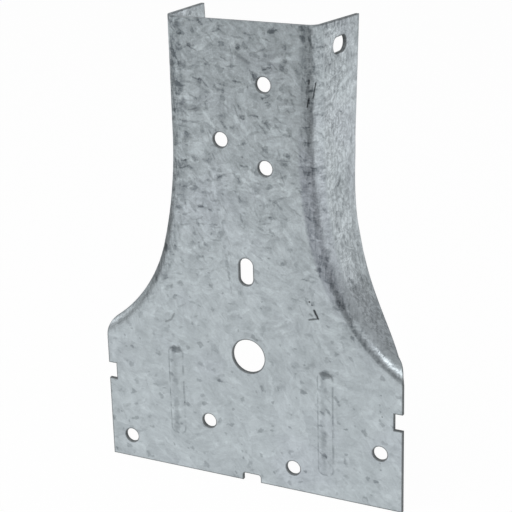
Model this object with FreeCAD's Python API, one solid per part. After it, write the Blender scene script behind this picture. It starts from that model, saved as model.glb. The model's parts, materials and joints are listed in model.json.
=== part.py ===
import FreeCAD, Part
import math
import os

from FreeCAD import Vector

# Sheet and its bends, millimetres
SHEET = 1.0
BEND_INSIDE = 2.5
FLARE = 3.5

# Stud and nails the tie is made for, and the play they are given
STUD_WIDTH = 38.1
STUD_PLAY = 1.8
NAIL_SHANK = 3.76
NAIL_PLAY = 0.24

# Blank: the flanges are the strip left outside the fold line, with rounded shoulders and falling tops
WIDTH = 88.9
HEIGHT = 128.6
STRIP_GAIN = 0.3
RUN_OUT_DEPTH = 2.0
SHEAR_TILT = 40.0
SHOULDER_HEIGHT = 37.2
SHOULDER_ROUND = 3.4
FLANGE_FALL = 0.9

# How far the stretched flange draws in, at shares of the turn from the upright to its run-out
DRAWN_PLACES = (0.0, 0.055, 0.11, 0.19, 0.27, 0.5, 0.75, 1.0)
DRAWN_IN = (0.0, 0.4, 1.5, 2.4, 1.6, 1.2, 0.8, 0.5)

# Fold line: upright, then a wide curve, then a tight curve out to the side edge
FOLD_START = 97.0
WIDE_CURVE = 120.0
WIDE_TURN = 15.0
TIGHT_CURVE = 43.5
OVERRUN = 4.0

# Nail holes up the stud, offset to either side of the middle line
STUD_NAIL_OFFSET = 6.35
STUD_NAILS_RIGHT = (90.8, 112.7)
STUD_NAILS_LEFT = (97.2,)

# Nail holes along the wall plate, low and high in turn, spread evenly between the side edges
PLATE_NAIL_INSET = 6.35
PLATE_NAIL_LOW = 6.7
PLATE_NAIL_HIGH = 16.1
PLATE_NAIL_PAIRS = 2

# Nail slots: upright on the middle line, level through each flange
SLOT_LENGTH = 7.5
SLOT_HEIGHT = 61.7
FLANGE_SLOT_LENGTH = 7.2
FLANGE_SLOT_SETBACK = 12.0
FLANGE_SLOT_DROP = 6.75

# Round inspection hole on the middle line
INSPECTION_BORE = 9.5
INSPECTION_HEIGHT = 37.5

# Setting-out notches in the side edges and the bottom edge
SIDE_NOTCH_HEIGHT = 26.0
SIDE_NOTCH_TALL = 4.7
SIDE_NOTCH_DEEP = 2.4
FOOT_NOTCH_WIDE = 5.4
FOOT_NOTCH_DEEP = 2.2
FOOT_NOTCH_CORNER = 0.8

# Stamped stiffening ribs, standing out of the front face
RIB_OFFSET = 22.5
RIB_WIDTH = 4.8
RIB_RISE = 0.5
RIB_END_CURVE = 2.2
RIB_HEAD = 36.7
RIB_FOOT_LEFT = 10.4
RIB_FOOT_RIGHT = 6.4

# Sizes that follow
BEND_OUTSIDE = BEND_INSIDE + SHEET
HALF_WIDTH = WIDTH / 2
HALF_CHANNEL = STUD_WIDTH / 2 + STUD_PLAY + SHEET
HALF_FLAT = HALF_CHANNEL - BEND_OUTSIDE
NAIL_HOLE = NAIL_SHANK + NAIL_PLAY
SHEAR_RISE = math.tan(math.radians(SHEAR_TILT))
UP = Vector(0, 0, 1)
BACK = Vector(0, 1, 0)
ACROSS = Vector(1, 0, 0)
MIDDLE = Vector(0, 0, 0)


def radial(angle):
    """Direction from a fold curve's centre towards the plate, for an angle of turn in degrees."""
    turn = math.radians(angle)
    return Vector(-math.cos(turn), 0, -math.sin(turn))


WIDE_CENTRE = Vector(HALF_CHANNEL + WIDE_CURVE, 0, FOLD_START)
TIGHT_CENTRE = WIDE_CENTRE + radial(WIDE_TURN) * (WIDE_CURVE - TIGHT_CURVE)
SIDE_REACH = TIGHT_CENTRE.x - HALF_WIDTH
SHOULDER_TURN = math.degrees(math.acos(SIDE_REACH / (TIGHT_CURVE + BEND_OUTSIDE)))
RUN_OUT_REACH = TIGHT_CURVE + STRIP_GAIN - DRAWN_IN[-1] - RUN_OUT_DEPTH
RUN_OUT_TURN = math.degrees(math.acos(SIDE_REACH / RUN_OUT_REACH))


def both_sides(shape):
    """A shape of the right half together with its mirror image."""
    return [shape, shape.mirror(MIDDLE, ACROSS)]


def curve(centre, radius, start, end):
    """Arc about a fold curve's centre between two angles of turn."""
    points = [centre + radial(angle) * radius for angle in (start, (start + end) / 2, end)]
    return Part.Arc(*points).toShape()


def flat_plate():
    """The flat of the tie, up to where the bends begin."""
    foot = Vector(HALF_WIDTH, 0, 0)
    shoulder = TIGHT_CENTRE + radial(SHOULDER_TURN) * (TIGHT_CURVE + BEND_OUTSIDE)
    start = Vector(HALF_FLAT, 0, FOLD_START)
    head = Vector(HALF_FLAT, 0, HEIGHT)
    right = [
        Part.makeLine(foot, shoulder),
        curve(TIGHT_CENTRE, TIGHT_CURVE + BEND_OUTSIDE, SHOULDER_TURN, WIDE_TURN),
        curve(WIDE_CENTRE, WIDE_CURVE + BEND_OUTSIDE, WIDE_TURN, 0),
        Part.makeLine(start, head),
    ]
    left = [edge.mirror(MIDDLE, ACROSS) for edge in right]
    bottom = Part.makeLine(Vector(-HALF_WIDTH, 0, 0), foot)
    top = Part.makeLine(head, Vector(-HALF_FLAT, 0, HEIGHT))
    outline = Part.Wire([bottom] + right + [top] + left[::-1])
    return Part.Face(outline).extrude(BACK * SHEET)


def fold_section(height, lean):
    """Outline of a bend and its flange, cut level, with the flange leaning out by an angle."""
    turn = math.radians(90 - lean)
    centre = Vector(HALF_FLAT, BEND_OUTSIDE, height)
    rays = [Vector(math.sin(turn * part), -math.cos(turn * part), 0) for part in (0, 0.5, 1)]
    outer = [centre + ray * BEND_OUTSIDE for ray in rays]
    inner = [centre + ray * BEND_INSIDE for ray in rays]
    stock = Vector(math.cos(turn), math.sin(turn), 0) * HALF_WIDTH
    return Part.Wire([
        Part.Arc(*outer).toShape(),
        Part.makeLine(outer[2], outer[2] + stock),
        Part.makeLine(outer[2] + stock, inner[2] + stock),
        Part.makeLine(inner[2] + stock, inner[2]),
        Part.Arc(*inner[::-1]).toShape(),
        Part.makeLine(inner[0], outer[0]),
    ])


def folds():
    """Bends and flanges of both sides, with stock left on their rear edges."""
    square = fold_section(FOLD_START, 0)
    straight = Part.makeLoft([square, fold_section(HEIGHT, FLARE)], True, True)
    section = Part.Face(square)
    wide = section.revolve(WIDE_CENTRE, -BACK, WIDE_TURN)
    section.rotate(WIDE_CENTRE, -BACK, WIDE_TURN)
    tight = section.revolve(TIGHT_CENTRE, -BACK, SHOULDER_TURN + OVERRUN - WIDE_TURN)
    return both_sides(straight) + both_sides(wide) + both_sides(tight)


def rear_point(angle, drawn):
    """Point of the flange's rear edge: as deep as the strip beside the fold, with its gain at the bend."""
    centre, radius = (WIDE_CENTRE, WIDE_CURVE) if angle < WIDE_TURN else (TIGHT_CENTRE, TIGHT_CURVE)
    fold = centre + radial(angle) * radius
    depth = (HALF_WIDTH - fold.x) / math.cos(math.radians(angle)) + STRIP_GAIN - drawn
    return Vector(0, depth, fold.z - fold.x * SHEAR_RISE)


def blank_limits():
    """Block that ends the sheet at its side edges and at the flanges' rear edges."""
    points = [rear_point(place * RUN_OUT_TURN, drawn) for place, drawn in zip(DRAWN_PLACES, DRAWN_IN)]
    rear = Part.BSplineCurve()
    rear.interpolate(points)
    first = points[0]
    last = points[-1]
    corners = [
        last,
        Vector(0, last.y, -HEIGHT),
        Vector(0, -HEIGHT, -HEIGHT),
        Vector(0, -HEIGHT, 2 * HEIGHT),
        Vector(0, first.y, 2 * HEIGHT),
        first,
    ]
    lines = [Part.makeLine(a, b) for a, b in zip(corners, corners[1:])]
    half = Part.Face(Part.Wire([rear.toShape()] + lines))
    right, left = both_sides(half.extrude(Vector(HALF_WIDTH, 0, HALF_WIDTH * SHEAR_RISE)))
    return right.fuse(left).removeSplitter()


def shoulder_rounds():
    """Cutters that round off the bends where they run out at the side edges."""
    inner = HALF_WIDTH - SHOULDER_ROUND
    turn = math.degrees(math.acos((TIGHT_CENTRE.x - inner) / TIGHT_CURVE))
    top = (TIGHT_CENTRE + radial(turn) * TIGHT_CURVE).z
    rise = top - SHOULDER_HEIGHT
    radius = (SHOULDER_ROUND ** 2 + rise ** 2) / (2 * SHOULDER_ROUND)
    half_sweep = math.asin(rise / radius) / 2
    start = Vector(HALF_WIDTH, -SHEET, SHOULDER_HEIGHT)
    middle = start + Vector(math.cos(half_sweep) - 1, 0, math.sin(half_sweep)) * radius
    end = Vector(inner, -SHEET, top)
    corner = Vector(HALF_WIDTH, -SHEET, top)
    rounded = Part.Arc(start, middle, end).toShape()
    outline = Part.Wire([rounded, Part.makeLine(end, corner), Part.makeLine(corner, start)])
    return both_sides(Part.Face(outline).extrude(BACK * WIDTH))


def flange_top_falls():
    """Cutter that slopes the flanges' top edges down from the bends to their rear edges."""
    slope = FLANGE_FALL / (HALF_WIDTH + STRIP_GAIN - HALF_CHANNEL - BEND_OUTSIDE)
    bend = Vector(-HALF_WIDTH, BEND_OUTSIDE, HEIGHT)
    rear = bend + BACK * HALF_WIDTH
    outline = [bend, rear, rear - UP * (slope * HALF_WIDTH), bend]
    return Part.Face(Part.makePolygon(outline)).extrude(ACROSS * WIDTH)


def hole(x, height, diameter):
    """Cutter for a round hole through the plate."""
    return Part.makeCylinder(diameter / 2, 3 * SHEET, Vector(x, -SHEET, height), BACK)


def plate_holes():
    """Cutters for every hole through the plate."""
    cutters = [hole(STUD_NAIL_OFFSET, height, NAIL_HOLE) for height in STUD_NAILS_RIGHT]
    cutters += [hole(-STUD_NAIL_OFFSET, height, NAIL_HOLE) for height in STUD_NAILS_LEFT]
    row = [PLATE_NAIL_LOW, PLATE_NAIL_HIGH] * PLATE_NAIL_PAIRS
    first = PLATE_NAIL_INSET - HALF_WIDTH
    pitch = -2 * first / (len(row) - 1)
    cutters += [hole(first + place * pitch, height, NAIL_HOLE) for place, height in enumerate(row)]
    cutters.append(hole(0, INSPECTION_HEIGHT, INSPECTION_BORE))
    straight = SLOT_LENGTH - NAIL_HOLE
    corner = Vector(-NAIL_HOLE / 2, -SHEET, SLOT_HEIGHT - straight / 2)
    cutters.append(Part.makeBox(NAIL_HOLE, 3 * SHEET, straight, corner))
    cutters += [hole(0, SLOT_HEIGHT + end * straight / 2, NAIL_HOLE) for end in (-1, 1)]
    return cutters


def flange_slots():
    """Cutters for the level nail slots, through both flanges in one pass."""
    half = (FLANGE_SLOT_LENGTH - NAIL_HOLE) / 2
    start = Vector(-HALF_WIDTH, FLANGE_SLOT_SETBACK, HEIGHT - FLANGE_SLOT_DROP)
    ends = [Part.makeCylinder(NAIL_HOLE / 2, WIDTH, start + BACK * end, ACROSS) for end in (-half, half)]
    return ends + [Part.makeBox(WIDTH, 2 * half, NAIL_HOLE, start - BACK * half - UP * (NAIL_HOLE / 2))]


def notches():
    """Cutters for the notches in the side edges and the bottom edge."""
    side = Part.makeBox(
        2 * SIDE_NOTCH_DEEP, 3 * SHEET, SIDE_NOTCH_TALL,
        Vector(HALF_WIDTH - SIDE_NOTCH_DEEP, -SHEET, SIDE_NOTCH_HEIGHT - SIDE_NOTCH_TALL / 2))
    foot = Part.makeBox(
        FOOT_NOTCH_WIDE, 3 * SHEET, 2 * FOOT_NOTCH_DEEP,
        Vector(-FOOT_NOTCH_WIDE / 2, -SHEET, -FOOT_NOTCH_DEEP))
    inner = [edge for edge in foot.Edges if edge.BoundBox.YLength > SHEET and edge.CenterOfMass.z > 0]
    return both_sides(side) + [foot.makeFillet(FOOT_NOTCH_CORNER, inner)]


def rib_form(x, foot, head, skin):
    """Solid under a rib's skin: skin is 0 for its front face and the sheet's thickness for its hollow."""
    crest = (RIB_WIDTH ** 2 / 4 + RIB_RISE ** 2) / (2 * RIB_RISE)
    inset = math.sqrt(RIB_END_CURVE ** 2 - (RIB_END_CURVE - RIB_RISE) ** 2)
    across = Part.makeCylinder(crest - skin, head - foot, Vector(x, crest - RIB_RISE, foot), UP)
    ends = [
        Part.makeCylinder(
            RIB_END_CURVE - skin, 2 * RIB_WIDTH,
            Vector(x - RIB_WIDTH, RIB_END_CURVE - RIB_RISE, height), ACROSS)
        for height in (foot + inset, head - inset)
    ]
    along = Part.makeBox(
        2 * RIB_WIDTH, 2 * SHEET + RIB_RISE, head - foot - 2 * inset,
        Vector(x - RIB_WIDTH, skin - RIB_RISE, foot + inset))
    slab = Part.makeBox(
        2 * RIB_WIDTH, SHEET / 2 + RIB_RISE, head - foot,
        Vector(x - RIB_WIDTH, skin - RIB_RISE, foot))
    return across.common(along.multiFuse(ends)).common(slab)


def stud_plate_tie():
    """The folded sheet, its origin on the back face, on the middle line, level with the side notches."""
    tie = flat_plate().multiFuse(folds()).removeSplitter().common(blank_limits())
    ribs = [(-RIB_OFFSET, RIB_FOOT_LEFT), (RIB_OFFSET, RIB_FOOT_RIGHT)]
    tie = tie.multiFuse([rib_form(x, foot, RIB_HEAD, 0) for x, foot in ribs])
    tie = tie.cut([rib_form(x, foot, RIB_HEAD, SHEET) for x, foot in ribs])
    cutters = plate_holes() + notches() + flange_slots() + shoulder_rounds() + [flange_top_falls()]
    tie = tie.cut(cutters).removeSplitter()
    tie = tie.Solids[0]
    tie.translate(Vector(0, -SHEET, -SIDE_NOTCH_HEIGHT))
    return tie


os.makedirs("parts", exist_ok=True)
stud_plate_tie().exportStep("parts/stud_plate_tie.step")
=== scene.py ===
"""Looks of a stud plate tie: galvanised sheet, pierced, stamped and folded, on a pale studio floor."""
import json
import logging
import math
from dataclasses import dataclass, field
from enum import Enum
from typing import Any, Union

import bmesh
import bpy
from mathutils import Matrix, Vector, noise


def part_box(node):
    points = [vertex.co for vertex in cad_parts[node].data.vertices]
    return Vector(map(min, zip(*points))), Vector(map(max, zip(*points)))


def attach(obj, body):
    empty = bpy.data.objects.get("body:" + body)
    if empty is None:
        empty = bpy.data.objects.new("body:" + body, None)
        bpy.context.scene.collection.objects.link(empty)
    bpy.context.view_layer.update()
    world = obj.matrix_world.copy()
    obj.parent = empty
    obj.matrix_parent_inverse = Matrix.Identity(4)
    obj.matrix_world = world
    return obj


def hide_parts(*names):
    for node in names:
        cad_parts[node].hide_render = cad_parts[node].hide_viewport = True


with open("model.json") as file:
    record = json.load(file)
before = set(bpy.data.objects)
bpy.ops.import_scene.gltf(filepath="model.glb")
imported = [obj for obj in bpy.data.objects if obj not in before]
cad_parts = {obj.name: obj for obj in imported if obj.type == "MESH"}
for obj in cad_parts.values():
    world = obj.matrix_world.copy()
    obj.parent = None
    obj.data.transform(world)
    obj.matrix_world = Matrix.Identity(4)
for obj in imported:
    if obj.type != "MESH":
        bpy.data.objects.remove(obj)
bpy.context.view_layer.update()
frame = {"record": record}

NODE = "stud_plate_tie"
BODY = "root"
MM = 0.001
LOG = logging.getLogger(NODE)

Span = tuple[float, float]
Triple = tuple[float, float, float]


class Skin(Enum):
    """The two faces of the sheet, by the sign of their height over its middle."""

    FRONT = -1
    BACK = 1


@dataclass(frozen=True)
class FoldLine:
    """Line that the sheet is folded along: upright, then a wide and a tight curve. Millimetres, degrees."""

    top: float
    sheet: float
    half_channel: float = 21.85
    start: float = 71.0
    wide_curve: float = 120.0
    wide_turn: float = 15.0
    tight_curve: float = 43.5
    bend_outside: float = 3.5
    flare: float = 3.5

    @property
    def bend_middle(self) -> float:
        """Radius of the bend at the middle of the sheet."""
        return self.bend_outside - self.sheet / 2

    @property
    def half_flat(self) -> float:
        """Distance from the middle line to where the upright bend begins."""
        return self.half_channel - self.bend_outside

    @property
    def wide_centre(self) -> Vector:
        """Centre of the wide curve, across and up."""
        return Vector((self.half_channel + self.wide_curve, self.start))

    @property
    def tight_centre(self) -> Vector:
        """Centre of the tight curve, across and up."""
        return self.wide_centre + self.radial(self.wide_turn) * (self.wide_curve - self.tight_curve)

    @staticmethod
    def radial(turn: float) -> Vector:
        """Direction from a curve's centre towards the plate, for an angle of turn."""
        angle = math.radians(turn)
        return Vector((-math.cos(angle), -math.sin(angle)))

    def curve_at(self, turn: float) -> tuple[Vector, float]:
        """The curve that the fold follows at an angle of turn.

        Args:
            turn: Angle of turn from the upright.

        Returns:
            The curve's centre and its radius.
        """
        if turn <= self.wide_turn:
            return self.wide_centre, self.wide_curve
        return self.tight_centre, self.tight_curve

    def locate(self, across: float, up: float) -> tuple[float, Vector]:
        """Places a point of the flat blank's right half against the start of the bend.

        Args:
            across: Distance from the middle line.
            up: Height.

        Returns:
            How far the point lies beyond the start of the bend, and the way outwards there.
        """
        if up >= self.start:
            return across - self.half_flat, Vector((1.0, 0.0))
        spot = Vector((across, up))
        arm = spot - self.wide_centre
        centre, radius = self.curve_at(math.degrees(math.atan2(-arm.y, -arm.x)))
        arm = spot - centre
        return radius + self.bend_outside - arm.length, -arm.normalized()

    def lean(self, up: float) -> float:
        """Angle in radians that the flange leans out by at a height."""
        share = (up - self.start) / (self.top - self.start)
        return math.radians(self.flare) * max(0.0, share)

    def reach_for(self, back: float, lean: float = 0.0) -> float:
        """Length of sheet beyond the start of the bend that ends at a depth.

        Args:
            back: Depth behind the middle of the plate.
            lean: Angle in radians that the flange leans out by.

        Returns:
            Length along the middle of the sheet.
        """
        full = math.pi / 2 - lean
        bend_depth = self.bend_middle * (1 - math.cos(full))
        if back < bend_depth:
            return self.bend_middle * math.acos(1 - back / self.bend_middle)
        return self.bend_middle * full + (back - bend_depth) / math.sin(full)

    def fold(self, flat: Vector) -> Vector:
        """Carries a point of the flat blank to its place on the folded sheet.

        Args:
            flat: Across, height over the middle of the sheet, and up.

        Returns:
            The folded point, its depth measured from the middle of the plate.
        """
        across, height, up = flat
        reach, outward = self.locate(abs(across), up)
        if reach <= 0:
            return flat.copy()
        turn = min(reach / self.bend_middle, math.pi / 2 - self.lean(up))
        past = reach - self.bend_middle * turn
        arm = self.bend_middle - height
        out = arm * math.sin(turn) + past * math.cos(turn)
        back = self.bend_middle - arm * math.cos(turn) + past * math.sin(turn)
        spot = Vector((abs(across), up)) + outward * (out - reach)
        return Vector((math.copysign(spot.x, across), back, spot.y))


@dataclass(frozen=True)
class Hole:
    """Round hole in the flat blank, or a slot whose ends are drawn apart across or upwards. Millimetres."""

    across: float
    up: float
    radius: float
    wider: float = 0.0
    taller: float = 0.0
    segments: int = 40


@dataclass(frozen=True)
class Rib:
    """Shallow stamped rib that stands out of the front face, millimetres."""

    across: float
    foot: float
    head: float
    half_width: float = 2.4
    corner: float = 1.8
    rise: float = 0.3
    ramp: float = 0.8

    def height(self, across: float, up: float) -> float:
        """How far the rib lifts the sheet.

        Args:
            across: Place across the blank.
            up: Place up the blank.

        Returns:
            The lift there.
        """
        beside = abs(across - self.across) - self.half_width + self.corner
        beyond = abs(up - (self.head + self.foot) / 2) - (self.head - self.foot) / 2 + self.corner
        outside = math.hypot(max(beside, 0.0), max(beyond, 0.0)) + min(max(beside, beyond), 0.0)
        share = min(1.0, max(0.0, (self.corner - outside) / self.ramp))
        return self.rise * share * share * (3 - 2 * share)

    def near(self, spot: Vector) -> bool:
        """Whether a place is on the rib or just beside it.

        Args:
            spot: Place on the blank.

        Returns:
            True there.
        """
        margin = 2 * self.ramp
        beside = abs(spot.x - self.across) < self.half_width + margin
        return beside and self.foot - margin < spot.z < self.head + margin


@dataclass
class FoldedSheet:
    """The tie itself: the outline is cut flat and pierced, then given its thickness, stamped and folded."""

    box: tuple[Vector, Vector]
    mounts: list[dict[str, Any]]
    sheet: float = 1.0
    strip_gain: float = 0.3
    drawn_places: tuple[float, ...] = (0.0, 3.04, 6.08, 10.5, 14.9, 27.6, 41.5, 55.3)
    drawn_in: tuple[float, ...] = (0.0, 0.4, 1.5, 2.4, 1.6, 1.2, 0.8, 0.5)
    run_out_turn: float = 52.5
    shoulder_heights: Triple = (10.4, 11.5, 12.9)
    flange_fall: float = 0.9
    rim_shade: float = 0.9
    rim_steep: float = 3.0
    flange_slot_up: float = 95.85
    flange_slot_back: float = 11.0
    flange_slot_long: float = 7.2
    notch_tall: float = 4.7
    notch_deep: float = 2.4
    foot_notch_wide: float = 5.4
    foot_notch_deep: float = 2.2
    foot_notch_corner: float = 0.8
    slot_up: float = 35.7
    slot_long: float = 7.5
    rib_across: float = 22.5
    rib_head: float = 10.7
    rib_feet: Span = (-15.6, -19.6)
    edge_rounds: dict[Skin, float] = field(default_factory=lambda: {Skin.FRONT: 0.22, Skin.BACK: 0.12})
    edge_support: float = 0.2
    corner_steps: int = 4
    shoulder_steps: int = 8
    rear_steps: int = 48
    upright_steps: int = 6
    pitch: float = 1.0
    snap: float = 0.0001
    bend_margin: float = 1.0
    wave_length: float = 34.0
    wave_rise: float = 0.07
    wave_fade: float = 6.0

    def __post_init__(self) -> None:
        """Works out the sizes that follow from the frame."""
        low, high = self.box
        self.half_width = high.x / MM
        self.bottom = low.z / MM
        self.top = high.z / MM
        self.line = FoldLine(top=self.top, sheet=self.sheet)
        left, right = self.rib_feet
        self.ribs = (
            Rib(-self.rib_across, left, self.rib_head),
            Rib(self.rib_across, right, self.rib_head),
        )
        outer = max(self.edge_rounds.values())
        self.ring_steps = [outer * (1 - math.sqrt(0.5)), outer * math.sqrt(0.5), self.edge_support]

    def holes(self) -> list[Hole]:
        """Places the holes by the record's mounts.

        Returns:
            Every hole of the blank.
        """
        found = []
        for mount in self.mounts:
            spot = Vector(mount["pos_m"]) / MM
            sizes = mount["dims"]
            if mount["kind"] == "bolt_pattern":
                step = Vector((sizes.get("spacing_x_mm", 0.0), 0.0, sizes.get("spacing_y_mm", 0.0))) / 2
                found += [Hole(at.x, at.z, sizes["hole_r_mm"]) for at in (spot - step, spot + step)]
            elif mount["kind"] == "bore":
                found.append(Hole(spot.x, spot.z, sizes["r_mm"]))
        nail = min(hole.radius for hole in found)
        found.append(Hole(0.0, self.slot_up, nail, taller=self.slot_long - 2 * nail))
        lean = self.line.lean(self.flange_slot_up)
        reach = self.line.half_flat + self.line.reach_for(self.flange_slot_back + self.sheet / 2, lean)
        wider = self.flange_slot_long - 2 * nail
        return found + [Hole(across, self.flange_slot_up, nail, wider=wider) for across in (-reach, reach)]

    def rear_point(self, turn: float) -> Vector:
        """Finds the rear edge of a flange.

        Args:
            turn: Angle of turn of the fold.

        Returns:
            The point of the blank's outline there.
        """
        centre, radius = self.line.curve_at(turn)
        way = self.line.radial(turn)
        fold = centre + way * radius
        drawn = smooth_through(self.drawn_places, self.drawn_in, turn)
        depth = (self.half_width - fold.x) / math.cos(math.radians(turn)) + self.strip_gain - drawn
        reach = self.line.reach_for(depth - self.sheet / 2)
        return centre + way * (radius + self.line.bend_outside - reach)

    def side_point(self, up: float) -> Vector:
        """Finds the side edge of the plate.

        Args:
            up: Height.

        Returns:
            The point of the blank that is flush with the plate's side once the sheet is bent.
        """
        reach, outward = self.line.locate(self.half_width, up)
        turn = max(0.0, reach) / self.line.bend_middle
        stretch = self.line.bend_outside * math.sin(turn) - self.line.bend_middle * turn
        return Vector((self.half_width - outward.x * stretch, up))

    def half_outline(self) -> list[Vector]:
        """Draws the outline of the blank's right half.

        Returns:
            Its points, from the foot notch up to the top edge.
        """
        half_notch = self.foot_notch_wide / 2
        corner = self.foot_notch_corner
        centre = Vector((half_notch - corner, self.bottom + self.foot_notch_deep - corner))
        angles = steps(0, math.pi / 2, self.corner_steps)
        points = [centre + Vector((math.sin(a), math.cos(a))) * corner for a in angles]
        points += [Vector((half_notch, self.bottom)), Vector((self.half_width, self.bottom))]
        inner = self.half_width - self.notch_deep
        for side in (-1, 1):
            pair = [Vector((x, side * self.notch_tall / 2)) for x in (self.half_width, inner)]
            points += pair[::-side]
        low, middle, high = self.shoulder_heights
        points += [self.side_point(up) for up in steps(low, middle, self.corner_steps)[:-1]]
        start, control = self.side_point(middle), self.side_point(high)
        end = self.rear_point(self.run_out_turn)
        shares = steps(0.0, 1.0, self.shoulder_steps)[:-1]
        points += [start.lerp(control, t).lerp(control.lerp(end, t), t) for t in shares]
        points += [self.rear_point(turn) for turn in steps(self.run_out_turn, 0.0, self.rear_steps)]
        depth = self.half_width - self.line.half_channel + self.strip_gain - self.sheet / 2
        for up in steps(self.line.start, self.top - self.flange_fall, self.upright_steps)[1:]:
            lean = self.line.lean(up)
            reach = self.line.reach_for(depth - self.sheet / 2 * math.sin(lean), lean)
            points.append(Vector((self.line.half_flat + reach, up)))
        bend = self.line.bend_middle * (math.pi / 2 - self.line.lean(self.top))
        return points + [Vector((self.line.half_flat + bend, self.top))]

    def build(self) -> bpy.types.Object:
        """Makes the folded sheet.

        Returns:
            The piece, standing for the CAD node.
        """
        self.shape = bmesh.new()
        self.add_layers()
        self.cut_outline()
        for hole in self.holes():
            self.pierce(hole)
        self.fill()
        self.divide()
        self.thicken()
        self.stamp()
        self.bend()
        bmesh.ops.scale(self.shape, vec=Vector((MM, MM, MM)), verts=self.shape.verts)
        mesh = bpy.data.meshes.new("folded_sheet")
        self.shape.to_mesh(mesh)
        self.shape.free()
        mesh.shade_smooth()
        piece = bpy.data.objects.new("folded_sheet", mesh)
        bpy.context.scene.collection.objects.link(piece)
        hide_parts(NODE)
        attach(piece, BODY)
        return piece

    def add_layers(self) -> None:
        """Adds what each point, edge and face of the blank is marked with."""
        self.edge_gap = self.shape.verts.layers.float.new("edge_gap")
        self.cut = self.shape.verts.layers.float.new("cut")
        self.reach = self.shape.verts.layers.float.new("fold")
        self.blank = self.shape.verts.layers.float_vector.new("blank")
        self.inner = self.shape.faces.layers.int.new("inner")
        self.loose = self.shape.edges.layers.int.new("loose")

    def ring(self, face: bmesh.types.BMFace, gaps: list[float]) -> None:
        """Runs parallel rings inside a face and takes its middle out.

        Args:
            face: Face whose border is ringed.
            gaps: Distance of each ring from the cut edge, the face's own border first.
        """
        for vert in face.verts:
            vert[self.edge_gap] = gaps[0]
        for before, after in zip(gaps, gaps[1:]):
            step = abs(after - before)
            bmesh.ops.inset_region(
                self.shape, faces=[face], thickness=step, use_even_offset=True, use_boundary=True)
            for vert in face.verts:
                vert[self.edge_gap] = after
        bmesh.ops.delete(self.shape, geom=[face], context="FACES_ONLY")

    def gaps(self) -> list[float]:
        """Spaces the rings along a cut edge.

        Returns:
            Their distances from the edge, the edge itself first.
        """
        found = [0.0]
        for step in self.ring_steps:
            found.append(found[-1] + step)
        return found

    def cut_outline(self) -> None:
        """Lays out the blank's outline and the rings inside it."""
        right = self.half_outline()
        left = [Vector((-point.x, point.y)) for point in reversed(right)]
        level = -self.sheet / 2
        verts = [self.shape.verts.new((point.x, level, point.y)) for point in right + left]
        self.ring(self.shape.faces.new(verts), self.gaps())

    def pierce(self, hole: Hole) -> None:
        """Lays out a hole and the rings round it.

        Args:
            hole: The hole.
        """
        gaps = self.gaps()[::-1]
        turn = Matrix.Rotation(math.pi / 2, 4, "X") @ Matrix.Rotation(math.pi / hole.segments, 4, "Z")
        place = Matrix.Translation((hole.across, -self.sheet / 2, hole.up)) @ turn
        made = bmesh.ops.create_circle(
            self.shape, cap_ends=True, segments=hole.segments, radius=hole.radius + gaps[0], matrix=place)
        verts = made["verts"]
        for vert in verts:
            vert.co.x += math.copysign(hole.wider / 2, vert.co.x - hole.across)
            vert.co.z += math.copysign(hole.taller / 2, vert.co.z - hole.up)
        self.ring(verts[0].link_faces[0], gaps)

    def fill(self) -> None:
        """Fills the sheet between the rings of the outline and those of the holes."""
        last = self.gaps()[-1] - self.edge_support / 2
        border = [edge for edge in self.shape.edges if all(vert[self.edge_gap] > last for vert in edge.verts)]
        outward = Vector((0, Skin.FRONT.value, 0))
        made = bmesh.ops.triangle_fill(self.shape, use_beauty=True, edges=border, normal=outward)["geom"]
        for item in made:
            if isinstance(item, bmesh.types.BMFace):
                item[self.inner] = 1
            elif isinstance(item, bmesh.types.BMEdge):
                item[self.loose] = 1
        for vert in self.shape.verts:
            vert[self.edge_gap] = min(vert[self.edge_gap], last)

    def divide(self) -> None:
        """Divides the sheet into small squares, smaller where it is bent or stamped."""
        right = self.half_width
        for place in steps(-right, right, round(2 * right / self.pitch))[1:-1]:
            through = abs(place) < self.line.half_channel + self.line.bend_outside
            self.slice(Vector((place, 0, 0)), Vector((1, 0, 0)), through)
        for place in steps(self.bottom, self.top, round((self.top - self.bottom) / self.pitch))[1:-1]:
            self.slice(Vector((0, 0, place)), Vector((0, 0, 1)), False)
        loose = [edge for edge in self.shape.edges if edge[self.loose]]
        bmesh.ops.dissolve_edges(self.shape, edges=loose, use_verts=False)
        fine = [edge for edge in self.shape.edges if all(self.needs_detail(vert.co) for vert in edge.verts)]
        bmesh.ops.subdivide_edges(self.shape, edges=fine, cuts=1, use_grid_fill=True)

    def slice(self, spot: Vector, axis: Vector, through: bool) -> None:
        """Cuts the sheet along a plane.

        Args:
            spot: A point of the plane.
            axis: The plane's normal.
            through: Whether the rings along the cut edges are cut as well.
        """
        faces = [face for face in self.shape.faces if through or face[self.inner]]
        parts = set(faces)
        for face in faces:
            parts.update(face.edges)
            parts.update(face.verts)
        bmesh.ops.bisect_plane(self.shape, geom=list(parts), dist=self.snap, plane_co=spot, plane_no=axis)

    def needs_detail(self, spot: Vector) -> bool:
        """Whether a place is in a bend or on a rib.

        Args:
            spot: Place on the blank.

        Returns:
            True there.
        """
        reach, _ = self.line.locate(abs(spot.x), spot.z)
        bend = self.line.bend_middle * math.pi / 2
        if -self.bend_margin < reach < bend + self.bend_margin:
            return True
        return any(rib.near(spot) for rib in self.ribs)

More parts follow.
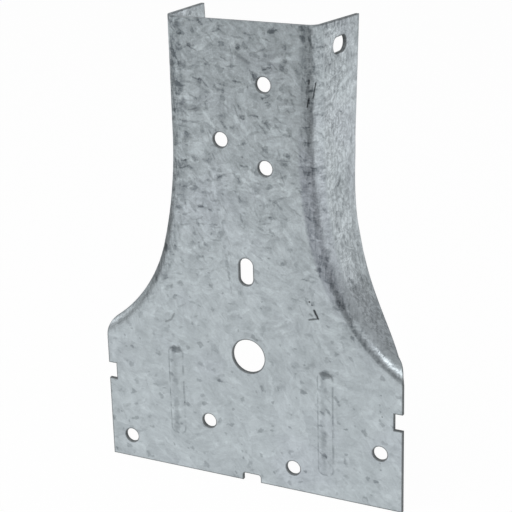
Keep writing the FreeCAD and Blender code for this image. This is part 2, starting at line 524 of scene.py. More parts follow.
    def thicken(self) -> None:
        """Gives the blank its thickness and rounds its cut edges."""
        made = bmesh.ops.extrude_face_region(self.shape, geom=self.shape.faces[:])["geom"]
        verts = [item for item in made if isinstance(item, bmesh.types.BMVert)]
        bmesh.ops.translate(self.shape, vec=Vector((0, self.sheet, 0)), verts=verts)
        bmesh.ops.recalc_face_normals(self.shape, faces=self.shape.faces)
        for vert in self.shape.verts:
            skin = Skin.BACK if vert.co.y > 0 else Skin.FRONT
            radius = self.edge_rounds[skin]
            gap = min(radius, vert[self.edge_gap])
            drop = radius - math.sqrt(radius ** 2 - (radius - gap) ** 2)
            vert.co.y -= skin.value * drop

    def stamp(self) -> None:
        """Keeps each point's place on the blank, then stamps the ribs and lets the sheet wave a little."""
        rim_width = max(vert[self.edge_gap] for vert in self.shape.verts)
        for vert in self.shape.verts:
            across, height, up = vert.co
            vert[self.blank] = Vector((across, up, height))
            # The cut mark is 1 on the sheared walls and rises to rim_shade on the rounded rims beside them,
            # where the darkening is painted shade.
            wall = (self.sheet / 2 - abs(height)) / min(self.edge_rounds.values())
            rim = self.rim_shade * min(1.0, self.rim_steep * (1 - vert[self.edge_gap] / rim_width))
            vert[self.cut] = min(1.0, max(wall, rim, 0.0))
            vert[self.reach] = self.line.locate(abs(across), up)[0]
            wave = noise.noise(Vector((across, up, 0.0)) / self.wave_length)
            flat = 1 - min(1.0, max(0.0, vert[self.reach] / self.wave_fade))
            vert.co.y += self.wave_rise * wave * flat
            vert.co.y -= sum(rib.height(across, up) for rib in self.ribs)

    def bend(self) -> None:
        """Folds the flanges back."""
        middle = Vector((0, -self.sheet / 2, 0))
        for vert in self.shape.verts:
            vert.co = self.line.fold(vert.co) + middle


def steps(start: float, end: float, count: int) -> list[float]:
    """Even values from a start to an end, both included."""
    return [start + (end - start) * place / count for place in range(count + 1)]


def smooth_through(places: tuple[float, ...], values: tuple[float, ...], at: float) -> float:
    """Value at a place on a smooth curve through given values.

    Args:
        places: Rising places.
        values: The value at each place.
        at: The place that is asked for.

    Returns:
        The value there.
    """
    last = len(places) - 1
    pairs = [(max(i - 1, 0), min(i + 1, last)) for i in range(last + 1)]
    slopes = [(values[b] - values[a]) / (places[b] - places[a]) for a, b in pairs]
    i = max(place for place in range(last) if place == 0 or places[place] <= at)
    gap = places[i + 1] - places[i]
    t = (at - places[i]) / gap
    start = values[i] + slopes[i] * gap * t * (1 - t)
    end = values[i + 1] - slopes[i + 1] * gap * t * (1 - t)
    return start + (end - start) * t * t * (3 - 2 * t)


Value = Union["Signal", float]


@dataclass(frozen=True)
class Signal:
    """A shader socket that takes part in arithmetic."""

    bench: "NodeBench"
    socket: bpy.types.NodeSocket

    def __add__(self, other: Value) -> "Signal":
        """Sum."""
        return self.bench.math("ADD", self, other)

    __radd__ = __add__

    def __sub__(self, other: Value) -> "Signal":
        """Difference."""
        return self.bench.math("SUBTRACT", self, other)

    def __rsub__(self, other: Value) -> "Signal":
        """Difference from a number."""
        return self.bench.math("SUBTRACT", other, self)

    def __mul__(self, other: Value) -> "Signal":
        """Product."""
        return self.bench.math("MULTIPLY", self, other)

    __rmul__ = __mul__

    def __truediv__(self, other: Value) -> "Signal":
        """Quotient."""
        return self.bench.math("DIVIDE", self, other)

    def __abs__(self) -> "Signal":
        """Size without sign."""
        return self.bench.math("ABSOLUTE", self)

    def over(self, level: Value) -> "Signal":
        """1 where it is more than a level, and 0 elsewhere."""
        return self.bench.math("GREATER_THAN", self, level)

    def most(self, other: Value) -> "Signal":
        """The larger of two."""
        return self.bench.math("MAXIMUM", self, other)

    def ramp(self, low: Value, high: Value) -> "Signal":
        """Smooth step from 0 at one value to 1 at another."""
        values = {"Value": self, "From Min": low, "From Max": high}
        return self.bench.add("ShaderNodeMapRange", {"interpolation_type": "SMOOTHSTEP"}, values).out("Result")


@dataclass(frozen=True)
class PlacedNode:
    """A node that has been put on a bench."""

    bench: "NodeBench"
    node: bpy.types.Node

    def out(self, name: Union[str, int] = 0) -> Signal:
        """One of the node's outputs."""
        return Signal(self.bench, self.node.outputs[name])


class NodeBench:
    """Puts nodes into a tree and wires them up."""

    def __init__(self, tree: bpy.types.NodeTree) -> None:
        """Starts from an empty tree."""
        self.tree = tree
        tree.nodes.clear()

    def add(self, kind: str, settings: dict[str, Any], sockets: dict[Union[str, int], Any]) -> PlacedNode:
        """Adds one node.

        Args:
            kind: Type of the node.
            settings: Properties that are set before its sockets.
            sockets: Values or links, by the socket's name or number.

        Returns:
            The node.
        """
        node = self.tree.nodes.new(kind)
        for name, value in settings.items():
            setattr(node, name, value)
        for name, value in sockets.items():
            if isinstance(value, Signal):
                self.tree.links.new(value.socket, node.inputs[name])
            else:
                node.inputs[name].default_value = value
        return PlacedNode(self, node)

    def math(self, operation: str, *values: Value) -> Signal:
        """Adds one Math node."""
        return self.add("ShaderNodeMath", {"operation": operation}, dict(enumerate(values))).out()

    def vector(self, operation: str, *values: Any) -> PlacedNode:
        """Adds one Vector Math node."""
        return self.add("ShaderNodeVectorMath", {"operation": operation}, dict(enumerate(values)))

    def split(self, vector: Signal) -> tuple[Signal, Signal, Signal]:
        """The three numbers of a vector."""
        node = self.add("ShaderNodeSeparateXYZ", {}, {0: vector})
        return node.out(0), node.out(1), node.out(2)

    def join(self, *values: Value) -> Signal:
        """A vector from its numbers."""
        return self.add("ShaderNodeCombineXYZ", {}, dict(enumerate(values))).out()

    def attribute(self, name: str) -> PlacedNode:
        """One of the marks that the sheet's points carry."""
        return self.add("ShaderNodeAttribute", {"attribute_name": name}, {})

    def noise(
            self, place: Signal, size: float, detail: float = 2.0, twist: float = 0.0, harsh: float = 0.5,
            output: str = "Fac",
    ) -> Signal:
        """Soft noise.

        Args:
            place: Where it is read, in millimetres.
            size: Length of its waves, in millimetres.
            detail: Number of finer waves on top.
            twist: How much it is distorted.
            harsh: How strong the finer waves are.
            output: Which output of the texture is taken.

        Returns:
            The noise, about 0.5 on the whole.
        """
        sockets = {"Vector": place, "Scale": 1 / size, "Detail": detail, "Distortion": twist}
        return self.add("ShaderNodeTexNoise", {}, {**sockets, "Roughness": harsh}).out(output)

    def swing(self, place: Signal, size: float, **finer: float) -> Signal:
        """Soft noise as above, but about 0 on the whole."""
        return self.noise(place, size, **finer) - 0.5

    def drift(self, place: Signal, size: float, far: float) -> Signal:
        """A place that soft noise of a size moves about, at most so far each way."""
        sway = self.vector("SUBTRACT", self.noise(place, size, output="Color"), (0.5, 0.5, 0.5)).out()
        return self.vector("MULTIPLY_ADD", sway, (2 * far, 2 * far, 0.0), place).out()

    def blend(self, share: Signal, first: Any, second: Any) -> Signal:
        """One colour going over into another."""
        sockets = {"Factor": share, 6: first, 7: second}
        return self.add("ShaderNodeMix", {"data_type": "RGBA"}, sockets).out(2)


class Finish:
    """A material that is made of nodes."""

    name: str

    def surface(self, bench: NodeBench) -> Signal:
        """Lays the nodes out and gives back the surface."""
        raise NotImplementedError

    def make(self) -> bpy.types.Material:
        """Makes the material.

        Returns:
            The material.
        """
        material = bpy.data.materials.new(self.name)
        material.use_nodes = True
        bench = NodeBench(material.node_tree)
        bench.add("ShaderNodeOutputMaterial", {}, {"Surface": self.surface(bench)})
        return material


@dataclass(frozen=True)
class Mark:
    """A scratch or a speck on the front, by its ends on the blank. Millimetres."""

    start: Span
    end: Span
    width: float
    strength: float
    core: float = 0.2
    border: float = 1.1

    def mask(self, bench: NodeBench, place: Signal) -> Signal:
        """How strongly the mark shows.

        Args:
            bench: Where the nodes go.
            place: Place on the blank.

        Returns:
            Its strength along its line, and 0 away from it.
        """
        offset = bench.vector("SUBTRACT", place, (*self.start, 0.0)).out()
        run = Vector(self.end) - Vector(self.start)
        if run.length:
            share = bench.vector("DOT_PRODUCT", offset, (*(run / run.length_squared), 0.0)).out("Value")
            share = bench.math("MINIMUM", share.most(0.0), 1.0)
            nearest = bench.vector("MULTIPLY", bench.join(share, share), (*run, 0.0)).out()
            offset = bench.vector("SUBTRACT", offset, nearest).out()
        away = bench.vector("LENGTH", offset).out("Value")
        return (1 - away.ramp(self.width * self.core, self.width * self.border)) * self.strength


DARK_MARKS = (
    Mark((-19.2, 80.6), (-19.2, 80.6), 0.26, 1.0),
    Mark((38.7, 0.9), (38.7, 0.9), 0.26, 0.9),
    Mark((18.3, 30.0), (18.3, 30.0), 0.38, 1.0),
    Mark((19.0, 29.2), (19.0, 29.2), 0.3, 0.9),
    Mark((19.6, 27.8), (20.7, 25.7), 0.46, 1.0),
    Mark((20.7, 25.7), (18.2, 25.0), 0.38, 0.7),
    Mark((18.4, 26.6), (18.9, 26.3), 0.5, 0.4),
    Mark((19.0, 89.0), (18.9, 88.0), 0.3, 0.9),
    Mark((18.8, 87.2), (18.4, 85.5), 0.5, 0.5),
    Mark((20.4, 88.2), (19.8, 84.4), 0.24, 0.9),
    Mark((18.9, 84.3), (18.5, 82.1), 0.28, 1.0),
    Mark((-22.4, 20.5), (-23.4, 18.6), 0.4, 0.36),
    Mark((-23.4, 18.6), (-25.2, 17.7), 0.4, 0.36),
    Mark((-1.1, 94.2), (2.5, 92.1), 0.7, 0.3),
    Mark((0.4, 93.3), (1.9, 92.5), 0.6, 0.35),
    Mark((-17.6, 79.9), (-16.4, 79.0), 0.7, 0.22),
    Mark((-16.4, 79.0), (-15.0, 78.4), 0.8, 0.26),
    Mark((-15.0, 78.4), (-13.2, 78.5), 0.7, 0.26),
    Mark((-13.2, 78.5), (-12.0, 79.1), 0.7, 0.2),
)
PALE_MARKS = (
    Mark((-9.6, 84.8), (-3.2, 80.5), 0.3, 0.5),
    Mark((-11.7, 93.0), (-8.5, 91.4), 0.24, 0.6),
    Mark((-2.1, 87.3), (0.0, 88.9), 0.24, 0.5),
)


@dataclass(frozen=True)
class Band:
    """Where something starts, is full, begins to fade and is gone."""

    start: float
    full: float
    fade: float
    gone: float

    def of(self, value: Signal) -> Signal:
        """1 inside the band, and 0 well outside it."""
        return value.ramp(self.start, self.full) * (1 - value.ramp(self.fade, self.gone))


@dataclass(frozen=True)
class Leaves:
    """A sort of leaf that some crystals hold: its sizes in millimetres, and how rare it is."""

    size: float
    warp: float
    length: float
    width: float
    rarity: float
    longer: float = 0.0
    ragged: float = 1.0
    crowding: float = 0.0


@dataclass(frozen=True)
class Crystals:
    """Zinc crystals: where a point lies in its crystal, along and beside the grain, and two chance values."""

    along: Signal
    beside: Signal
    chance: Signal
    shade: Signal

    def leaf(self, length: Value, width: Value, ragged: Signal) -> Signal:
        """A pointed patch with ragged borders in the middle of each crystal, 1 inside and 0 outside."""
        along, beside = self.along / length, self.beside / width
        return 1 - (along * along + abs(beside) + ragged).ramp(0.35, 1.0)


class ZincCoat:
    """The zinc's pattern and wear at a point, from its place on the blank and past the bend, with the light
    and shade painted along the folds. Millimetres.
    """

    side_gap = 61.0
    upper_plate = (0.0, 80.0)
    crowded = (0.36, 0.62)
    strokes = Leaves(size=7.5, warp=1.2, length=4.2, width=0.9, rarity=0.4)
    needles = Leaves(
        size=4.0, warp=0.7, length=1.4, width=0.42, rarity=0.85, longer=1.2, ragged=0.5, crowding=0.5)
    blots = Leaves(size=4.8, warp=1.0, length=0.9, width=1.0, rarity=0.74, longer=1.2, crowding=0.4)
    flecks = Leaves(size=4.4, warp=1.2, length=0.5, width=0.75, rarity=0.72, longer=1.0, crowding=0.45)
    specks = Leaves(size=2.4, warp=0.6, length=0.35, width=0.4, rarity=0.8, longer=0.3)
    flange_past = (3.8, 5.2)
    rear_past = (14.0, 20.0)
    bend_past = Band(-0.8, 0.8, 3.2, 4.6)
    # Dark band along each bend: partly worn coat, partly painted shade.
    worn_and_shaded_past = Band(-1.4, -0.4, 2.4, 3.8)
    # Painted highlight: a pale strip beside the low right bend.
    strip_past = Band(2.2, 3.4, 5.0, 8.0)
    # Painted shade: a thin dark line where the low right bend starts.
    bend_line_shade_start = (0.0, 0.5)
    bend_line_shade_end = (0.7, 1.4)
    bend_line_shade_wider_up = (22.0, 33.0)
    bend_line_shade_up = (30.0, 40.0)
    low_up = (30.0, 50.0)
    worn_and_shaded_up = (12.0, 35.0)
    nearer_up = (25.0, 50.0)
    further_up = (76.0, 92.0)
    # Painted shade: the band along the right bend is darker at these heights.
    low_bend_shade_up = Band(30.0, 40.0, 52.0, 64.0)
    violet_up = Band(20.0, 40.0, 62.0, 80.0)

    def __init__(self, bench: NodeBench) -> None:
        """Reads the marks that the sheet's points carry, and lays the pattern and the wear out."""
        self.bench = bench
        self.across, self.up, height = bench.split(bench.attribute("blank").out("Vector"))
        self.reach = bench.attribute("fold").out("Fac")
        # The cut mark: the sheared walls, and painted shade on the rims beside them.
        self.cut = bench.attribute("cut").out("Fac")
        self.back = height.over(0.0)
        self.front = 1 - self.back
        self.place = bench.join(self.across + self.back * self.side_gap, self.up)
        self.lay_spangle()
        self.lay_folds()

    def lay_spangle(self) -> None:
        """Lays out clouds, mottling, crystals, and the leaves that some of them hold."""
        bench, place = self.bench, self.place
        self.upper = self.up.ramp(*self.upper_plate)
        self.cloud = bench.swing(place, size=26.0)
        self.mottle = bench.swing(place, size=3.4, detail=6.0, twist=0.7, harsh=0.62)
        self.grain = bench.swing(place, size=0.5)
        self.ragged = bench.swing(place, size=1.4, detail=3.0) * 2.8
        crowd = bench.noise(place, size=12.0).ramp(*self.crowded)
        self.large = self.crystals(size=6.5, warp=1.5)
        streaks = bench.join(self.large.along * 0.3, self.large.beside * 1.3, self.large.chance * 40.0)
        self.feather = bench.swing(streaks, size=1.0)
        self.stroke, _ = self.grow(self.strokes, self.upper)
        self.needle, _ = self.grow(self.needles, self.upper)
        self.blot, _ = self.grow(self.blots, self.upper)
        fleck, fleck_shade = self.grow(self.flecks, crowd)
        speck, speck_shade = self.grow(self.specks, crowd)
        self.fleck = (fleck * (0.3 + 0.7 * fleck_shade)).most(speck * speck_shade)

    def lay_folds(self) -> None:
        """Lays out the crinkled coat of the flanges, and the painted light and shade along the folds: dark
        bands along the bends that are partly worn, a thin painted shade line and a painted pale strip by the
        low right bend, and paler low flanges.
        """
        up, reach = self.up, self.reach
        right = self.across.over(0.0)
        low = 1 - up.ramp(*self.low_up)
        flange = reach.ramp(*self.flange_past)
        self.crinkled = flange * (1 - reach.ramp(*self.rear_past) * 0.5)
        self.crinkle = self.crinkled_coat()
        # Low flanges: made paler in the tone, which is painted light.
        self.low_flange = flange * low
        self.bend = self.bend_past.of(reach)
        # Dark band along each bend: partly worn coat, partly painted shade. Low on the right bend it is
        # darker, which is painted shade.
        shifted = reach + up.ramp(*self.nearer_up) * 1.5 - up.ramp(*self.further_up)
        self.worn_and_shaded = self.worn_and_shaded_past.of(shifted) * up.ramp(*self.worn_and_shaded_up)
        self.low_bend_shade = self.low_bend_shade_up.of(up) * right
        # Painted shade: a thin dark line where the low right bend starts.
        bend_line_shade = 1 - (reach - up.ramp(*self.bend_line_shade_wider_up)).ramp(*self.bend_line_shade_end)
        bend_line_shade = reach.ramp(*self.bend_line_shade_start) * bend_line_shade
        self.bend_line_shade = bend_line_shade * (1 - up.ramp(*self.bend_line_shade_up)) * right
        # Painted highlight: a pale strip beside the low right bend.
        self.strip = self.strip_past.of(reach) * low * right
        drawn = self.bench.join(self.across, up * 0.22 + self.back * self.side_gap)
        self.streak = self.bench.noise(drawn, size=0.8, detail=3.0).ramp(0.42, 0.7)
        self.violet = self.worn_and_shaded.most(self.bend * 0.6) * 0.34 * self.violet_up.of(up) * right

    def crystals(self, size: float, warp: float) -> Crystals:
        """Divides the surface into crystals, each with a grain of its own.

        Args:
            size: Size of a crystal.
            warp: How far their borders wander.

        Returns:
            The crystals.
        """
        bench = self.bench
        spot = bench.drift(self.place, size=size * 0.6, far=warp)
        sockets = {"Vector": spot, "Scale": 1 / size}
        cells = bench.add("ShaderNodeTexVoronoi", {"voronoi_dimensions": "2D"}, sockets)
        chance, shade, turn = bench.split(cells.out("Color"))
        offset = bench.vector("SUBTRACT", spot, cells.out("Position")).out()
        sockets = {"Vector": offset, "Angle": (turn * 0.6 - 0.16) * math.pi}
        turned = bench.add("ShaderNodeVectorRotate", {"rotation_type": "Z_AXIS"}, sockets).out()
        along, beside, _ = bench.split(turned)
        return Crystals(along, beside, chance, shade)

    def grow(self, sort: Leaves, crowd: Signal) -> tuple[Signal, Signal]:
        """Grows leaves.

        Args:
            sort: Their sort.
            crowd: Where they are less rare.

        Returns:
            The leaves, 1 inside them, and the shade of each crystal.
        """
        crystals = self.crystals(sort.size, sort.warp)
        length = sort.length + crystals.shade * sort.longer
        leaf = crystals.leaf(length, sort.width, self.ragged * sort.ragged)
        return leaf * crystals.chance.over(sort.rarity - sort.crowding * crowd), crystals.shade

    def crinkled_coat(self) -> Signal:
        """Crinkles the coat of the flanges.

        Returns:
            The crinkles, drawn out along the bend, about 0 on the whole.
        """
        bench, side = self.bench, self.back * 9.0
        place = bench.join(self.across * 0.6, self.up * 0.85, side)
        folds = abs(bench.swing(place, size=1.9, detail=3.0, twist=1.6)).ramp(0.0, 0.13)
        patches = bench.noise(place, size=2.6, detail=4.0, twist=1.2)
        place = bench.join(self.across * 0.8, self.up * 0.35, side)
        drawn = bench.noise(place, size=0.9, detail=3.0, twist=0.4)
        return folds * 0.25 + patches * 1.1 + drawn * 0.9 - 1.17

    def rib_wear_and_shade(self, rib: Rib) -> Signal:
        """Darkens a rib: thin broken lines at its sides, where it rises from the plate, which are painted
        shade and dirt; a worn band on top and a smudge at the head.

        Args:
            rib: The rib.

        Returns:
            How strongly it is darkened.
        """
        bench, aside = self.bench, self.across - rib.across
        broken = bench.noise(self.place, size=3.0, detail=3.0).ramp(0.36, 0.6)
        blotchy = bench.swing(self.place, size=1.8, detail=3.0) * 4.0
        beside = abs(aside) - rib.half_width + rib.corner
        beyond = abs(self.up - (rib.head + rib.foot) / 2) - (rib.head - rib.foot) / 2 + rib.corner
        corner = bench.vector("LENGTH", bench.join(beside.most(0.0), beyond.most(0.0))).out("Value")
        outside = corner + bench.math("MINIMUM", beside.most(beyond), 0.0) - rib.corner
        # Painted shade and dirt: a thin dark line in the corner where the rib rises from the plate.
        line = 1 - abs(outside + 0.15).ramp(0.12, 0.42)
        within = 1 - outside.ramp(-0.5, 0.4)
        band = 1 - (abs(aside + 0.45) + blotchy * 0.6).ramp(0.2, 1.3)
        rise, side = (self.up - rib.head + 0.6) / 1.3, aside / 1.7
        smudge = 1 - (rise * rise + side * side + blotchy).ramp(0.2, 1.2)
        return within * (broken * line * 0.42 + (0.4 + 0.6 * broken) * band * 0.26) + smudge * 0.34

    def marks(self, marks: tuple[Mark, ...]) -> Signal:
        """Draws scratches and specks on the front.

        Args:
            marks: The marks.

        Returns:
            How strong they are, 1 at the strongest.
        """
        place = self.bench.drift(self.place, size=0.8, far=0.15)
        found, *others = [mark.mask(self.bench, place) for mark in marks]
        for other in others:
            found = found.most(other)
        return found * self.front


@dataclass(frozen=True)
class ZincFinish(Finish):
    """Hot-dip galvanised zinc: spangle, wear along the folds and on the ribs, scratches, dark cut walls, and
    painted light and shade: in the dark bands along the folds, in lines at the ribs' sides and on the cut
    rims, at the foot, the top and the upper left corner, and on the paler low flanges and a pale strip by the
    low right bend.
    """

    name = "galvanised_zinc"
    ribs: tuple[Rib, ...]
    dull: Triple = (0.15, 0.173, 0.19)
    bright: Triple = (0.67, 0.735, 0.765)
    violet: Triple = (0.68, 0.70, 0.82)
    soot: Triple = (0.02, 0.022, 0.025)
    wall: Triple = (0.07, 0.075, 0.075)
    base_tone: float = 0.7
    metallic: float = 0.88
    roughness: float = 0.42
    relief: float = 0.00005
    # Painted shade: the sheet is darker towards its foot and its top, and the front at its upper left corner.
    foot_shade_up: Span = (-20.0, 50.0)
    head_shade_up: Span = (82.0, 102.0)
    corner_shade_up: Span = (60.0, 85.0)
    corner_shade_across: Span = (-18.0, 4.0)
    # Heights where the rims' painted shade is halved along the top edge.
    top_rim_up: Span = (99.0, 101.0)
    tint_offset: Triple = (170.0, 90.0, 0.0)

    def surface(self, bench: NodeBench) -> Signal:
        """Lays the zinc on.

        Args:
            bench: Where the nodes go.

        Returns:
            The surface.
        """
        coat = ZincCoat(bench)
        dark = coat.marks(DARK_MARKS)
        rough = self.roughness + (coat.large.chance - 0.5) * 0.12 + coat.cloud * 0.2 + coat.grain * 0.12
        rough += coat.fleck * 0.1 + coat.cut * 0.25 + dark * 0.2
        dents = bench.noise(coat.place, size=5.0)
        height = dents * 1.2 + coat.feather * 0.3 + coat.grain * (0.3 + 0.5 * coat.bend)
        height += coat.crinkled * coat.crinkle * 1.1 - coat.fleck * 0.15 - dark * 0.5
        bump = bench.add("ShaderNodeBump", {}, {"Strength": 1.0, "Distance": self.relief, "Height": height})
        # The cut mark lowers the metal on the walls, and on the rims beside them as painted shade.
        return bench.add("ShaderNodeBsdfPrincipled", {}, {
            "Base Color": self.colour(coat, dark), "Roughness": rough,
            "Metallic": self.metallic - coat.cut * 0.7, "Normal": bump.out()}).out()

    def tone(self, coat: ZincCoat) -> Signal:
        """Sets the zinc's tone, with painted light and shade in it.

        Args:
            coat: Its pattern and wear.

        Returns:
            The tone, from 0 for dull to 1 for bright.
        """
        up, upper = coat.up, coat.upper
        grain = 0.22 + 0.3 * upper + 0.4 * coat.low_flange + 0.3 * coat.bend
        tone = self.base_tone + coat.cloud * 0.2 + coat.grain * grain
        plain = 1 - coat.crinkled
        tone += plain * (coat.mottle * (0.55 + 0.6 * upper) + coat.feather * (0.3 + 0.4 * upper))
        tone += plain * ((coat.large.shade - 0.5) * 0.1 + coat.stroke * (0.1 + 0.12 * upper))
        spots = coat.blot * (0.1 + 0.2 * upper) + coat.needle * (0.12 + 0.16 * upper)
        tone -= plain * (spots + coat.fleck * (0.28 + 0.06 * upper))
        # The flanges' crinkles, and painted light: paler low flanges and a pale strip beside the low right
        # bend.
        tone += coat.crinkled * (coat.crinkle * 1.3 - 0.03) + coat.low_flange * 0.14 + coat.strip * 0.14
        # Painted shade: darker towards the foot and the top, and at the upper left corner of the front.
        tone -= (1 - up.ramp(*self.foot_shade_up)) * 0.05 + up.ramp(*self.head_shade_up) * 0.09
        left = 1 - coat.across.ramp(*self.corner_shade_across)
        tone -= up.ramp(*self.corner_shade_up) * left * coat.front * 0.09
        # Dark band along each bend, partly worn coat and partly painted shade, darker low on the right. Also
        # painted shade in a thin dark line where the low right bend starts.
        tone -= coat.worn_and_shaded * (0.14 + coat.streak * 0.2 + coat.low_bend_shade * 0.1) + coat.bend_line_shade * 0.22
        tone += coat.bend * (0.35 - coat.streak) * 0.16
        # Ribs: a worn band and a smudge, and at their sides dark lines that are painted shade and dirt.
        tone -= sum(coat.rib_wear_and_shade(rib) for rib in self.ribs) * (1 - 0.5 * coat.back)
        return tone + coat.marks(PALE_MARKS) * 0.16

    def colour(self, coat: ZincCoat, dark: Signal) -> Signal:
        """Colours the sheet.

        Args:
            coat: The zinc's pattern and wear.
            dark: Dark scratches.

        Returns:
            The colour.
        """
        bench = coat.bench
        zinc = bench.blend(self.tone(coat), (*self.dull, 1.0), (*self.bright, 1.0))
        apart = bench.vector("ADD", coat.place, self.tint_offset).out()
        tint = bench.noise(apart, size=22.0).ramp(0.5, 0.72)
        ratios = tuple(violet / bright for violet, bright in zip(self.violet, self.bright))
        violet = bench.vector("MULTIPLY", zinc, ratios).out()
        zinc = bench.blend((tint * 0.14).most(coat.violet), zinc, violet)
        zinc = bench.blend(dark * 0.92, zinc, (*self.soot, 1.0))
        rough_wall = bench.noise(coat.place, size=0.4, detail=3.0)
        # Dark wall colour on the sheared walls, and on the rounded rims beside them as painted shade, half as
        # strong along the top edge.
        shown = coat.cut * (1 - 0.5 * coat.up.ramp(*self.top_rim_up))
        return bench.blend(shown * (0.65 + 0.35 * rough_wall), zinc, (*self.wall, 1.0))


@dataclass(frozen=True)
class FloorFinish(Finish):
    """Plain white floor that keeps a soft shadow."""

    name = "pale_floor"
    colour: Triple = (0.94, 0.94, 0.94)
    lift: float = 0.97

    def surface(self, bench: NodeBench) -> Signal:
        """Lays the floor's colours.

        Args:
            bench: Where the nodes go.

        Returns:
            A surface that is white where it is looked at and plain and pale to other light.
        """
        path = bench.add("ShaderNodeLightPath", {}, {})
        seen = path.out("Is Camera Ray") + path.out("Is Glossy Ray") + path.out("Is Transmission Ray")
        plain = bench.add("ShaderNodeBsdfDiffuse", {}, {"Color": (*self.colour, 1.0)})
        white = bench.add("ShaderNodeEmission", {}, {"Strength": 1.0})
        shares = {0: seen * self.lift, 1: plain.out(), 2: white.out()}
        return bench.add("ShaderNodeMixShader", {}, shares).out()


@dataclass(frozen=True)
class Lamp:
    """A square soft box aimed at the middle of the tie."""

    name: str
    azimuth: float
    elevation: float
    distance: float
    size: float
    power: float

    def place(self, aim: Vector) -> None:
        """Puts the lamp up.

        Args:
            aim: What it is aimed at.
        """
        data = bpy.data.lights.new(self.name, "AREA")
        data.size = self.size
        data.energy = self.power
        lamp = bpy.data.objects.new(self.name, data)
        way = bearing(self.azimuth, self.elevation)
        lamp.location = aim + way * self.distance
        lamp.rotation_euler = way.to_track_quat("Z", "Y").to_euler()
        bpy.context.scene.collection.objects.link(lamp)


@dataclass(frozen=True)
class Viewpoint:
    """Camera at the photograph's viewing angle."""

    aim: Triple = (0.002155, 0.000861, 0.039912)
    azimuth: float = 26.937
    elevation: float = 19.653
    roll: float = 1.5555
    distance: float = 0.413387
    lens: float = 110.389
    sensor: float = 36.0

    def place(self) -> None:
        """Puts the camera up and makes it the scene's camera."""
        data = bpy.data.cameras.new("viewpoint")
        data.lens = self.lens
        data.sensor_width = self.sensor
        data.clip_start = self.distance / 100
        camera = bpy.data.objects.new("viewpoint", data)
        back = bearing(self.azimuth, self.elevation)
        level = Vector((0, 0, 1)).cross(back).normalized()
        axes = Matrix((level, back.cross(level), back)).transposed()
        turn = axes @ Matrix.Rotation(math.radians(-self.roll), 3, "Z")
        camera.matrix_world = Matrix.Translation(Vector(self.aim) + back * self.distance) @ turn.to_4x4()
        bpy.context.scene.collection.objects.link(camera)
        bpy.context.scene.camera = camera


@dataclass(frozen=True)
class CardFinish(Finish):
    """Matt grey card."""

    name = "grey_card"
    shade: float

    def surface(self, bench: NodeBench) -> Signal:
        """Lays one grey."""
        grey = (self.shade, self.shade, self.shade, 1.0)
        return bench.add("ShaderNodeBsdfDiffuse", {}, {"Color": grey}).out()


@dataclass(frozen=True)
class Card:
    """Upright card that stands on the floor and faces the tie."""

    name: str
    azimuth: float
    distance: float
    wide: float
    tall: float
    shade: float

    def place(self, ground: float) -> Matrix:
        """Stands the card up.

        Args:
            ground: Height of the floor.

        Returns:
            Where it stands and how it is turned.
        """
        middle = bearing(self.azimuth, 0.0) * self.distance + Vector((0, 0, ground + self.tall / 2))
        facing = Matrix.Rotation(math.radians(self.azimuth), 4, "Z") @ Matrix.Rotation(math.pi / 2, 4, "X")
        return Matrix.Translation(middle) @ facing


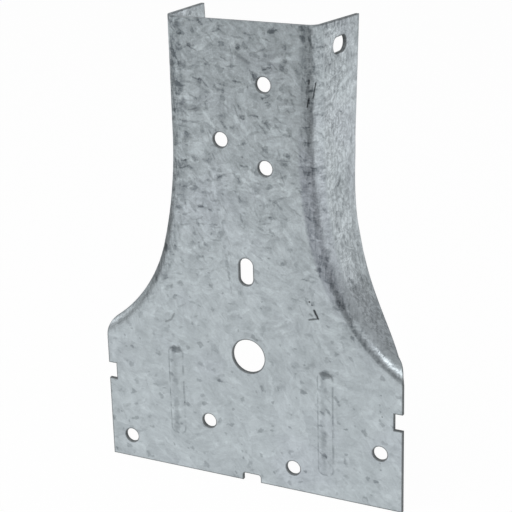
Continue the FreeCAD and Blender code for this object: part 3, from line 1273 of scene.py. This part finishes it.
@dataclass
class Studio:
    """Pale floor, soft lamps, an even grey surround, and cards that only the metal reflects."""

    ground: float
    floor_half: float = 20.0
    surround: float = 0.45
    aim: Vector = field(default_factory=lambda: Vector((0, 0, 0.04)))
    lamps: tuple[Lamp, ...] = (
        Lamp("key", 29.0, 41.0, 0.8, 0.26, 1.35),
        Lamp("fill", -25.0, 60.0, 0.9, 0.5, 3.0),
        Lamp("side", -92.0, 16.0, 0.9, 0.4, 0.9),
    )
    cards: tuple[Card, ...] = (
        Card("front_card", 6.0, 0.26, 0.31, 0.11, 0.05),
        Card("left_card", -105.0, 0.2, 0.41, 0.072, 0.16),
    )

    @staticmethod
    def panel(name: str, half_sides: Span, place: Matrix, finish: bpy.types.Material) -> bpy.types.Object:
        """Makes a flat panel of the studio.

        Args:
            name: Its name.
            half_sides: Half its width and half its length.
            place: Where it lies and how it is turned.
            finish: Its material.

        Returns:
            The panel.
        """
        shape = bmesh.new()
        sized = place @ Matrix.Diagonal((*half_sides, 1.0, 1.0))
        bmesh.ops.create_grid(shape, x_segments=1, y_segments=1, size=1.0, matrix=sized)
        mesh = bpy.data.meshes.new(name)
        shape.to_mesh(mesh)
        shape.free()
        mesh.materials.append(finish)
        panel = bpy.data.objects.new(name, mesh)
        bpy.context.scene.collection.objects.link(panel)
        return panel

    def build(self) -> None:
        """Lays the floor, sets the surround and puts the cards and the lamps up."""
        floor_place = Matrix.Translation((0, 0, self.ground))
        self.panel("floor", (self.floor_half, self.floor_half), floor_place, FloorFinish().make())
        for card in self.cards:
            half_sides = (card.wide / 2, card.tall / 2)
            panel = self.panel(card.name, half_sides, card.place(self.ground), CardFinish(card.shade).make())
            panel.visible_camera = False
            panel.visible_diffuse = False
            panel.visible_shadow = False
        world = bpy.data.worlds.new("surround")
        bpy.context.scene.world = world
        world.use_nodes = True
        bench = NodeBench(world.node_tree)
        light = bench.add("ShaderNodeBackground", {}, {"Strength": self.surround})
        bench.add("ShaderNodeOutputWorld", {}, {"Surface": light.out()})
        for lamp in self.lamps:
            lamp.place(self.aim)
        bpy.context.scene.view_settings.view_transform = "Standard"


def bearing(azimuth: float, elevation: float) -> Vector:
    """Direction seen from the tie's front, turned to its right and raised, in degrees."""
    turn, rise = math.radians(azimuth), math.radians(elevation)
    return Vector((math.sin(turn) * math.cos(rise), -math.cos(turn) * math.cos(rise), math.sin(rise)))


def main() -> None:
    """Builds the tie and the studio round it."""
    logging.basicConfig(level=logging.INFO)
    sheet = FoldedSheet(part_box(NODE), frame["record"]["mounts"])
    piece = sheet.build()
    piece.data.materials.append(ZincFinish(sheet.ribs).make())
    LOG.info("folded sheet: %d faces", len(piece.data.polygons))
    studio = Studio(ground=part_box(NODE)[0].z)
    studio.build()
    LOG.info("studio: %d lamps and %d cards", len(studio.lamps), len(studio.cards))
    Viewpoint().place()


if __name__ == "__main__":
    main()
